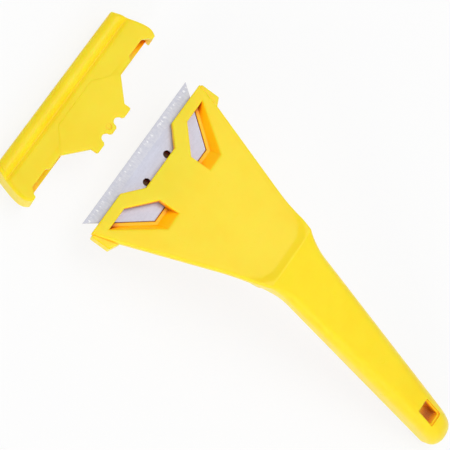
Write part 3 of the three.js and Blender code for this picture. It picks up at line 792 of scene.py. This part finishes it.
class GuardForm:
    """Levels and outlines of the guard, drawn pushed home on the head and then moved off it."""

    GROOVE = ((1.6, 0), (0.9, 0.4), (0.4, 1), (0, 0.7))  # run behind the bead, and share of the groove's depth
    SLAB_LIFT = 0.06  # of a slab's lower face over the channel's roof
    STEP_RISE, STEP_EDGE, PAD_EDGE = 0.04, 0.2, 0.35

    def __init__(self, guard, body):
        self.size, self.body = guard, body
        self.front = -guard.edge_gap - guard.wall
        self.floor = body.bottom - guard.clearance
        self.bottom = self.floor - guard.wall
        self.ear_inner = body.lug_half + guard.side_gap
        self.bead_half = body.front_half + guard.edge_gap + body.head.clearance
        self.bead_top = self.plate_top(self.depth(guard.bead_depth)) + guard.bead_proud
        self.high = self.bead_top + GUARD_OVERCUT
        self.wide = self.bead_half + GUARD_OVERCUT

    def depth(self, run):
        return self.front + run

    def roof(self, y):
        return self.body.top(y) + self.size.clearance

    def plate_top(self, y):
        return self.roof(y) + self.size.wall

    def bend(self, a, b, c, steps):
        """Curve from a to c that is drawn towards b."""
        curve = []
        for k in range(1, steps + 1):
            t = k / steps
            curve.append(tuple((1 - t) ** 2 * p + 2 * t * (1 - t) * q + t * t * r for p, q, r in zip(a, b, c)))
        return curve

    def profile(self):
        """Round nose, bead, groove, and the plate that follows the head's top."""
        size, front = self.size, self.front
        end = self.depth(size.ear_length) + OVERCUT
        dip = self.depth(size.bead_depth)
        low = size.bead_round / 2
        line = [(front + low, self.bottom), (end, self.bottom), (end, self.plate_top(end))]
        line += [(dip + run, self.plate_top(dip + run) - sink * size.groove) for run, sink in self.GROOVE]
        crest = (front + size.bead_round, self.bead_top)
        line += self.bend(line[-1], (self.depth(0.86 * size.bead_depth), self.bead_top), crest, 10)
        line += self.bend(crest, (front, self.bead_top), (front, self.bead_top - size.bead_round), 10)
        line += self.bend((front, self.bottom + low), (front, self.bottom), (front + low, self.bottom), 6)[:-1]
        return line

    def crest(self, y):
        """Height of the profile's upper line."""
        dip = self.depth(self.size.bead_depth)
        over = clamp((dip - y) / (dip - self.front - self.size.bead_round))
        return self.plate_top(y) + self.size.bead_proud * math.sin(over * math.pi / 2)

    def ear_line(self):
        """Bowed outer line of the right ear in plan, with the inward direction at each point."""
        size = self.size
        bow, run = size.ear_bow, size.ear_length
        keys = [(0, 0), (0.48 * bow, 0.3 * run), (0.89 * bow, 0.61 * run), (bow, 0.81 * run),
                (bow - 0.35 * size.ear_hook, 0.92 * run), (bow - size.ear_hook, run)]
        knots = [Vector((self.bead_half + x, self.depth(y))) for x, y in keys]
        line = []
        for k in range(len(knots) - 1):
            before, a, b = knots[max(k - 1, 0)], knots[k], knots[k + 1]
            after = knots[min(k + 2, len(knots) - 1)]
            for step in range(5):
                t = step / 5
                pull = (b - before) * (t * (1 - t) ** 2) / 2 - (after - a) * (t * t * (1 - t)) / 2
                line.append(a * (1 + 2 * t) * (1 - t) ** 2 + b * t * t * (3 - 2 * t) + pull)
        line.append(knots[-1])
        inward = []
        for k, point in enumerate(line):
            along = (line[min(k + 1, len(line) - 1)] - line[max(k - 1, 0)]).normalized()
            inward.append(Vector((-along.y, along.x)))
        inward[0] = Vector((-1, 0))
        inward[-1] = Vector((-1, -0.6))
        return list(zip(line, inward))

    def shell(self):
        """Outer shape with rounded ears, taller than the profile that trims it."""
        ear = self.ear_line()
        radius = self.size.ear_round

        def ring(inset, level):
            right = [(p.x + n.x * inset, p.y + n.y * inset, level(p.y)) for p, n in ear]
            return right + [(-x, y, z) for x, y, z in reversed(right)]

        rings = []
        for a in QUARTER_TURN:
            rings.append(ring(radius * (1 - math.sin(a)), lambda y: self.bottom + radius * (1 - math.cos(a))))
        for a in QUARTER_TURN:
            rings.append(ring(radius * (1 - math.cos(a)), lambda y: self.crest(y) - radius * (1 - math.sin(a))))
        rings.append(ring(radius + 0.6, lambda y: self.crest(y) + 1.5))
        rings.append(ring(radius + 1, lambda y: self.high))
        return loft(rings)

    def inside(self):
        """Plan of the space between the ears, clear of the head and its lugs."""
        size = self.size
        near = self.depth(size.wall)
        lip = self.depth(size.top_lip)
        inner, relief = self.ear_inner, self.ear_inner + size.ear_relief
        right = [(self.bead_half - size.wall / 2, near), (inner, self.body.front + self.body.head.lug_proud),
                 (relief, lip - size.ear_relief), (relief, lip),
                 (inner + size.ear_nip, self.depth(size.ear_length) + OVERCUT)]
        return prism(mirrored(right), self.bottom - OVERCUT, self.high)

    def ear_shelf(self):
        """Plan behind the upper lip, which leaves a shelf of the plate on each ear."""
        size, tip = self.size, self.depth(self.size.ear_length)
        right = [(self.bead_half - size.ear_shelf, self.depth(size.top_lip)), (self.bead_half + 0.4, tip - 1),
                 (self.bead_half + size.ear_nip, tip), (self.bead_half + size.ear_nip, tip + OVERCUT)]
        return prism(mirrored(right), 0, self.high)

    def within(self, bm):
        """The part of a shape that lies between the ears."""
        piece = as_object("space", bm)
        carve(piece, self.inside(), "INTERSECT")
        return as_bmesh(piece)

    def channel(self):
        near, rear = self.depth(self.size.wall), self.depth(self.size.tab_length) + OVERCUT
        space = [(near, self.floor), (rear, self.floor), (rear, self.roof(rear)), (near, self.roof(near))]
        return self.within(bar(space, self.wide))

    def lower_trim(self):
        """What lies behind the lower lip."""
        lip, rear = self.depth(self.size.lower_lip), self.depth(self.size.ear_length) + 2 * OVERCUT
        return self.within(prism(mirrored([(self.wide, lip), (self.wide, rear)]), self.bottom - OVERCUT, 0))

    def tab_plan(self):
        """Raised pad, tapered sides, then three lobes with two round notches between them."""
        size = self.size
        tip = self.depth(size.tab_length)
        half, notch, centre = size.tab_tip / 2, size.tab_notch / 2, size.tab_notch_spacing / 2
        chamfer = size.tab_chamfer
        root = self.depth(size.top_lip + size.step)
        right = [(size.pad_front / 2, self.depth(size.pad_start)), (size.tab_root / 2, root),
                 (half, self.depth(size.tab_shoulder)), (half, tip - chamfer),
                 (half - CORNER * chamfer, tip - CORNER * chamfer), (half - chamfer, tip),
                 (centre + notch + chamfer, tip)]
        for k in range(2 * ARC + 1):
            turn = k / (2 * ARC) * math.pi
            right.append((centre + notch * math.cos(turn), tip - chamfer - notch * math.sin(turn)))
        right.append((centre - notch - chamfer, tip))
        return mirrored(right)

    def slab(self, plan, rise, edge):
        """A plan as thick as the plate, with softened edges, on the slope of the plate."""
        low, high, middle = self.SLAB_LIFT, self.size.wall + rise, CORNER * edge
        levels = [(edge, low), (0, low + edge), (0, high - edge), (middle, high - middle), (edge, high)]
        outlines = [(grown(plan, -inset), level) for inset, level in levels]
        return loft([[(x, y, self.roof(y) + level) for x, y in outline] for outline, level in outlines])

    def step_plan(self):
        size = self.size
        root, lip = self.depth(size.top_lip - size.step), self.depth(size.top_lip)
        half = size.step_width / 2
        right = [(half, root), (half, lip - 0.2 * size.step), (half - 1.2 * size.step, lip + size.step)]
        return mirrored(right)

    def dimple(self):
        """Round mark on the middle lobe."""
        from_tip, radius, depth = 2.4, 1, 2.2
        y = self.depth(self.size.tab_length - from_tip)
        return drum((0, y, self.plate_top(y) + depth / 2), radius, depth)


class SCRAPER_OT_guard(bpy.types.Operator):
    """Builds the push-on guard with its bead, ears and lobed pull tab"""

    bl_idname = "scraper.guard"
    bl_label = "Guard"

    def execute(self, context):
        scene = context.scene
        size = millimetres(scene.scraper_guard)
        form = GuardForm(size, BodyForm(scene))
        piece = as_object("guard shape", form.shell())
        carve(piece, bar(form.profile(), form.wide), "INTERSECT")
        carve(piece, form.channel())
        carve(piece, form.ear_shelf())
        carve(piece, form.lower_trim())
        carve(piece, form.slab(form.step_plan(), form.STEP_RISE, form.STEP_EDGE), "UNION")
        carve(piece, form.slab(form.tab_plan(), size.pad_rise, form.PAD_EDGE), "UNION")
        carve(piece, form.dimple())
        for vert in piece.data.vertices:
            vert.co.y -= GUARD_TRAVEL
        finish = moulded_plastic("Guard plastic", scene)
        settle(piece, "scraper_guard", "guard", "blade_guard", finish)
        return {"FINISHED"}


# Materials


def shader_maths(operation, reflected=False):
    """A binary operator of Wire, with its sides swapped where it is reflected."""

    def apply(self, other):
        pair = (other, self) if reflected else (self, other)
        return self.math(operation, *pair)

    return apply


class Wire:
    """A shader socket that takes part in Python expressions."""

    __add__, __radd__ = shader_maths("ADD"), shader_maths("ADD", True)
    __sub__, __rsub__ = shader_maths("SUBTRACT"), shader_maths("SUBTRACT", True)
    __mul__, __rmul__ = shader_maths("MULTIPLY"), shader_maths("MULTIPLY", True)
    __pow__ = shader_maths("POWER")

    def __init__(self, finish, socket):
        self.finish, self.socket = finish, socket

    def math(self, operation, *values, clamped=False):
        inputs = dict(enumerate(values))
        return self.finish.node("ShaderNodeMath", inputs, operation=operation, use_clamp=clamped)

    def beside(self, output):
        """Another output of the same node."""
        return Wire(self.finish, self.socket.node.outputs[output])

    def __abs__(self):
        return self.math("ABSOLUTE", self)

    def clamped(self):
        return self.math("ADD", self, 0.0, clamped=True)

    def smoothly(self, start, end):
        """0 before start, 1 after end, with soft ends."""
        inputs = {"Value": self, "From Min": start, "From Max": end}
        return self.finish.node("ShaderNodeMapRange", inputs, interpolation_type="SMOOTHSTEP")


class Finish:
    """The node tree of a material or a world, whose nodes are made by one method."""

    def __init__(self, owner):
        self.owner = owner
        owner.use_nodes = True
        self.tree = owner.node_tree
        self.tree.nodes.clear()

    def node(self, kind, inputs=None, output=0, **settings):
        """Makes a node, sets or links its inputs and gives one of its outputs, where it has any."""
        made = self.tree.nodes.new(kind)
        for key, value in settings.items():
            setattr(made, key, value)
        for key, value in (inputs or {}).items():
            if isinstance(value, Wire):
                self.tree.links.new(value.socket, made.inputs[key])
            else:
                made.inputs[key].default_value = value
        return Wire(self, made.outputs[output]) if len(made.outputs) else None

    def coordinates(self):
        return self.node("ShaderNodeTexCoord", output="Object")

    def head_coordinates(self):
        """Object coordinates turned into the head's own frame, in metres."""
        place = HEAD_TO_ROW @ Matrix.Scale(1 / MM, 4)
        back = place.inverted()
        inputs = {"Vector": self.coordinates(), "Location": back.to_translation(), "Rotation": back.to_euler()}
        return self.node("ShaderNodeMapping", inputs, vector_type="POINT")

    def stretched(self, vector, scale):
        return self.node("ShaderNodeMapping", {"Vector": vector, "Scale": scale}, vector_type="POINT")

    def noise(self, vector, scale, detail, roughness=0.5):
        inputs = {"Vector": vector, "Scale": scale, "Detail": detail, "Roughness": roughness}
        return self.node("ShaderNodeTexNoise", inputs)

    def split(self, vector):
        made = self.node("ShaderNodeSeparateXYZ", {"Vector": vector})
        return [made.beside(k) for k in range(3)]

    def blend(self, a, b, factor):
        a, b = [colour if isinstance(colour, Wire) else (*colour, 1) for colour in (a, b)]
        return self.node("ShaderNodeMix", {0: factor, 6: a, 7: b}, 2, data_type="RGBA")

    def bump(self, height, strength, distance, normal):
        inputs = {"Height": height, "Strength": strength, "Distance": distance, "Normal": normal}
        return self.node("ShaderNodeBump", inputs)

    def principled(self, inputs):
        return self.shown(self.node("ShaderNodeBsdfPrincipled", inputs), "ShaderNodeOutputMaterial")

    def shown(self, shader, output):
        """Ends the tree with a shader and gives its owner back."""
        self.node(output, {"Surface": shader})
        return self.owner


def moulded_plastic(name, scene):
    """Glossy yellow moulding: slight flow marks, a fine satin grain, soft edges, painted orange to brown shade
    in the hollows, a painted emission on the window walls and painted near-black shade in the recesses under
    the blade's holes.
    """
    finishes, blade, head = scene.scraper_finishes, scene.scraper_blade, scene.scraper_head
    f = Finish(bpy.data.materials.new(name))
    place = f.coordinates()
    flow = f.noise(f.stretched(place, (38, 16, 38)), 1.0, 3.0, 0.55)
    cloud = f.noise(place, 150.0, 2.0)
    grain = f.noise(place, 2600.0, 2.0, 0.6)
    peel = f.noise(place, 420.0, 1.0)
    open_sky = f.node("ShaderNodeAmbientOcclusion", {"Distance": 9 * MM}, "AO", samples=8, only_local=True)
    closed = 1.0 - open_sky
    pale = tuple(min(1.0, c * 1.02 + 0.006) for c in finishes.yellow)
    rich = tuple(c * k for c, k in zip(finishes.yellow, (1.0, 0.955, 0.7)))
    skin = f.blend(pale, rich, (0.65 * flow + 0.35 * cloud).smoothly(0.3, 0.75))
    # Walls of the windows and the notch, inside their outline and below the plate's upper face: painted shade,
    # drawn orange there
    x, y, z = f.split(f.head_coordinates())
    plate = blade.thickness / 2 + head.clearance + head.upper_jaw
    below = plate + (y - head.reach) * math.tan(HEAD_SLOPE) - z
    slope = (blade.edge_length - blade.back_length) / 2 / blade.depth
    outer = blade.edge_length / 2 + 1.3 * head.window_ledge + head.flare_side + 2 * MM - slope * y
    rear = blade.depth + head.window_ledge + head.flare_rear
    behind_front = y.smoothly(head.reach + 0.25 * MM, head.reach + 0.5 * MM)
    opening = behind_front * (1.0 - y.smoothly(rear + 1 * MM, rear + 2 * MM))
    opening = opening * (outer - abs(x)).smoothly(0.0, 0.3 * MM)
    opening = opening * below.smoothly(0.1 * MM, 0.3 * MM) * z.smoothly(-0.4 * MM, -0.2 * MM)
    # Painted shade: the window walls and the hollows that ambient occlusion finds closed in are drawn orange,
    # then dark orange, then dark brown the deeper they lie
    skin = f.blend(skin, tuple(finishes.amber_shade_and_glow), (opening + closed.smoothly(0.22, 0.5)).clamped())
    skin = f.blend(skin, tuple(finishes.ember_shade), closed.smoothly(0.32, 0.52))
    skin = f.blend(skin, tuple(finishes.umber_shade), closed.smoothly(0.48, 0.74))
    # Painted light: an orange emission on the window walls and half-closed hollows stands in for light
    # spreading through the plastic, and fades out in the deepest ones
    painted_glow_mask = (0.5 * opening + closed.smoothly(0.22, 0.42)).clamped() * (1.0 - closed.smoothly(0.4, 0.6))
    painted_glow = f.blend((0, 0, 0), tuple(0.28 * c for c in finishes.amber_shade_and_glow), painted_glow_mask)
    # Painted shade in the recesses under the blade's holes, drawn near black
    off_x = abs(abs(x) - blade.hole_spacing / 2)
    off_y = y - blade.hole_from_edge
    from_hole = (off_x * off_x + off_y * off_y) ** 0.5
    shaded_recess = (1.0 - from_hole.smoothly(1.62 * MM, 1.72 * MM)) * (1.0 - z.smoothly(-0.75 * MM, -0.55 * MM))
    skin = f.blend(skin, tuple(finishes.recess), shaded_recess)
    soft_edge = f.node("ShaderNodeBevel", {"Radius": 0.35 * MM}, samples=4)
    relief = f.bump(0.7 * peel + 0.3 * grain, 0.06, 0.15 * MM, soft_edge)
    rough = finishes.plastic_rough + 0.1 * (cloud - 0.5) + 0.08 * (grain - 0.5) + 0.12 * shaded_recess
    return f.principled({
        "Base Color": skin, "Roughness": rough, "Normal": relief, "IOR": 1.48, "Specular IOR Level": 0.24,
        "Subsurface Weight": finishes.plastic_glow, "Subsurface Radius": (1.0, 0.4, 0.05),
        "Subsurface Scale": 4 * MM, "Emission Color": painted_glow, "Emission Strength": 1.0,
    })


def ground_steel(name, finishes, blade):
    """Bluish rolled steel with a fine grain, a mottled ground band along the edge, and painted highlight specks
    on a line near the cutting edge.
    """
    f = Finish(bpy.data.materials.new(name))
    head = f.head_coordinates()
    y = f.split(head)[1]
    rolled = f.noise(f.stretched(head, (140, 2600, 2600)), 1.0, 3.0, 0.65)
    strokes = f.noise(f.stretched(head, (2400, 170, 900)), 1.0, 3.0, 0.7)
    mottle = f.noise(head, 1300.0, 3.0, 0.65)
    cloud = f.noise(head, 95.0, 3.0)
    wander = 0.35 * MM * (f.noise(f.stretched(head, (900, 40, 40)), 1.0, 2.0) - 0.5)
    from_edge = y + wander
    ground = 1.0 - from_edge.smoothly(blade.grind - 0.45 * MM, blade.grind + 0.1 * MM)
    # Painted highlights: near-white specks on a line close to the cutting edge stand in for glints on the grind
    glint_specks = f.noise(f.stretched(head, (1100, 330, 330)), 1.0, 2.0, 0.6)
    near_edge = from_edge.smoothly(0.7 * MM, 1.2 * MM) * (1.0 - from_edge.smoothly(1.5 * MM, 2.1 * MM))
    line = near_edge * glint_specks.smoothly(0.5, 0.66)
    steel = tuple(finishes.steel)
    dark = tuple(c * 0.86 for c in steel)
    face = f.blend(steel, dark, (0.35 * cloud + 0.25 * rolled + 0.4 * mottle).smoothly(0.35, 0.7))
    worn = tuple(c * 0.95 for c in steel)
    band = f.blend(tuple(finishes.ground), worn, (0.5 * mottle + 0.5 * strokes).smoothly(0.38, 0.7))
    skin = f.blend(face, band, ground)
    skin = f.blend(skin, (0.93, 0.93, 0.94), line * 0.7)
    rough = finishes.steel_rough + 0.16 * (rolled - 0.5) + 0.12 * ground * strokes
    soft_edge = f.node("ShaderNodeBevel", {"Radius": 0.08 * MM}, samples=4)
    height = (1.0 - ground) * rolled * 0.35 + ground * (0.5 * strokes + 0.5 * mottle)
    relief = f.bump(height, 0.12, 0.03 * MM, soft_edge)
    return f.principled({
        "Base Color": skin, "Roughness": rough, "Metallic": 0.3, "Normal": relief, "IOR": 1.5,
        "Specular IOR Level": 0.3,
    })


def pale_floor(name, colour):
    """Floor that the camera and reflections see as near white, and that still keeps a shadow."""
    f = Finish(bpy.data.materials.new(name))
    camera = f.node("ShaderNodeLightPath", output="Is Camera Ray")
    seen = (camera + camera.beside("Is Glossy Ray") + camera.beside("Is Transmission Ray")).clamped()
    grain = f.noise(f.coordinates(), 30.0, 2.0)
    shade = f.blend(tuple(colour), tuple(c * 0.985 for c in colour), grain)
    matt = f.node("ShaderNodeBsdfDiffuse", {"Color": shade})
    white = f.node("ShaderNodeEmission", {"Color": WHITE, "Strength": 1.0})
    both = f.node("ShaderNodeMixShader", {0: seen * 0.84, 1: matt, 2: white})
    return f.shown(both, "ShaderNodeOutputMaterial")


class SCRAPER_OT_stage(bpy.types.Operator):
    """Sets the floor, the soft light and the camera"""

    bl_idname = "scraper.stage"
    bl_label = "Stage"

    LAMP_AIM = Vector((0, 0, 0.02))
    FLOOR_HALF = 2.5

    def execute(self, context):
        scene = context.scene
        stage = scene.scraper_stage
        scene.view_settings.view_transform = "Standard"
        self.floor(stage)
        self.world(scene, stage)
        self.lamp("Key lamp", (-0.34, -0.2, 1.02), 0.8, stage.key)
        self.lamp("Fill lamp", (0.7, 0.8, 0.6), 0.9, stage.fill)
        self.lamp("Rim lamp", (0.85, 0.2, 0.4), 0.3, stage.rim)
        self.camera(scene, stage)
        return {"FINISHED"}

    def floor(self, stage):
        bm = bmesh.new()
        bmesh.ops.create_grid(bm, x_segments=8, y_segments=8, size=self.FLOOR_HALF)
        floor = as_object("floor", bm)
        floor.data.materials.append(pale_floor("Pale floor", stage.floor))

    def world(self, scene, stage):
        """Even light, which the camera sees as white."""
        f = Finish(bpy.data.worlds.new("Studio"))
        camera = f.node("ShaderNodeLightPath", output="Is Camera Ray")
        seen = (camera + camera.beside("Is Transmission Ray")).clamped()
        even = f.node("ShaderNodeBackground", {"Color": WHITE, "Strength": stage.world})
        white = f.node("ShaderNodeBackground", {"Color": WHITE, "Strength": 1.0})
        both = f.node("ShaderNodeMixShader", {0: seen, 1: even, 2: white})
        scene.world = f.shown(both, "ShaderNodeOutputWorld")

    def lamp(self, name, place, size, watts):
        data = bpy.data.lights.new(name, "AREA")
        data.shape = "DISK"
        data.size = size
        data.energy = watts
        lamp = bpy.data.objects.new(name, data)
        bpy.context.scene.collection.objects.link(lamp)
        lamp.location = place
        lamp.rotation_euler = (self.LAMP_AIM - Vector(place)).to_track_quat("-Z", "Y").to_euler()

    def camera(self, scene, stage):
        data = bpy.data.cameras.new("Camera")
        data.lens = stage.lens
        data.sensor_width = 36
        data.clip_start = 0.01
        camera = bpy.data.objects.new("Camera", data)
        scene.collection.objects.link(camera)
        place, aim = Vector(stage.camera), Vector(stage.aim)
        ahead = (aim - place).normalized()
        level = ahead.cross(Vector((0, 0, 1))).normalized()
        upright = level.cross(ahead)
        up = upright * math.cos(stage.roll) + level * math.sin(stage.roll)
        right = ahead.cross(up)
        turn = Matrix((right, up, -ahead)).transposed().to_4x4()
        camera.matrix_world = Matrix.Translation(place) @ turn
        scene.camera = camera


class SCRAPER_PT_panel(bpy.types.Panel):
    """Lists the pieces and their sizes"""

    bl_idname = "SCRAPER_PT_panel"
    bl_label = "Window scraper"
    bl_space_type = "VIEW_3D"
    bl_region_type = "UI"
    bl_category = "Scraper"

    def draw(self, context):
        for operator in OPERATORS:
            self.layout.operator(operator.bl_idname)
        for name, group in GROUPS.items():
            box = self.layout.box()
            box.label(text=group.__doc__)
            for key in group.__annotations__:
                box.prop(getattr(context.scene, name), key)


GROUPS = {
    "scraper_blade": BladeSizes,
    "scraper_head": HeadSizes,
    "scraper_handle": HandleSizes,
    "scraper_guard": GuardSizes,
    "scraper_finishes": Finishes,
    "scraper_stage": Stage,
}
OPERATORS = (SCRAPER_OT_body, SCRAPER_OT_blade, SCRAPER_OT_guard, SCRAPER_OT_stage)


def register():
    for group in GROUPS.values():
        bpy.utils.register_class(group)
    for name, group in GROUPS.items():
        setattr(bpy.types.Scene, name, bpy.props.PointerProperty(type=group))
    for operator in OPERATORS:
        bpy.utils.register_class(operator)
    bpy.utils.register_class(SCRAPER_PT_panel)


def unregister():
    bpy.utils.unregister_class(SCRAPER_PT_panel)
    for operator in reversed(OPERATORS):
        bpy.utils.unregister_class(operator)
    for name in GROUPS:
        delattr(bpy.types.Scene, name)
    for group in reversed(GROUPS.values()):
        bpy.utils.unregister_class(group)


def main():
    register()
    bpy.ops.scraper.stage()
    bpy.ops.scraper.body()
    bpy.ops.scraper.blade()
    bpy.ops.scraper.guard()


if __name__ == "__main__":
    main()
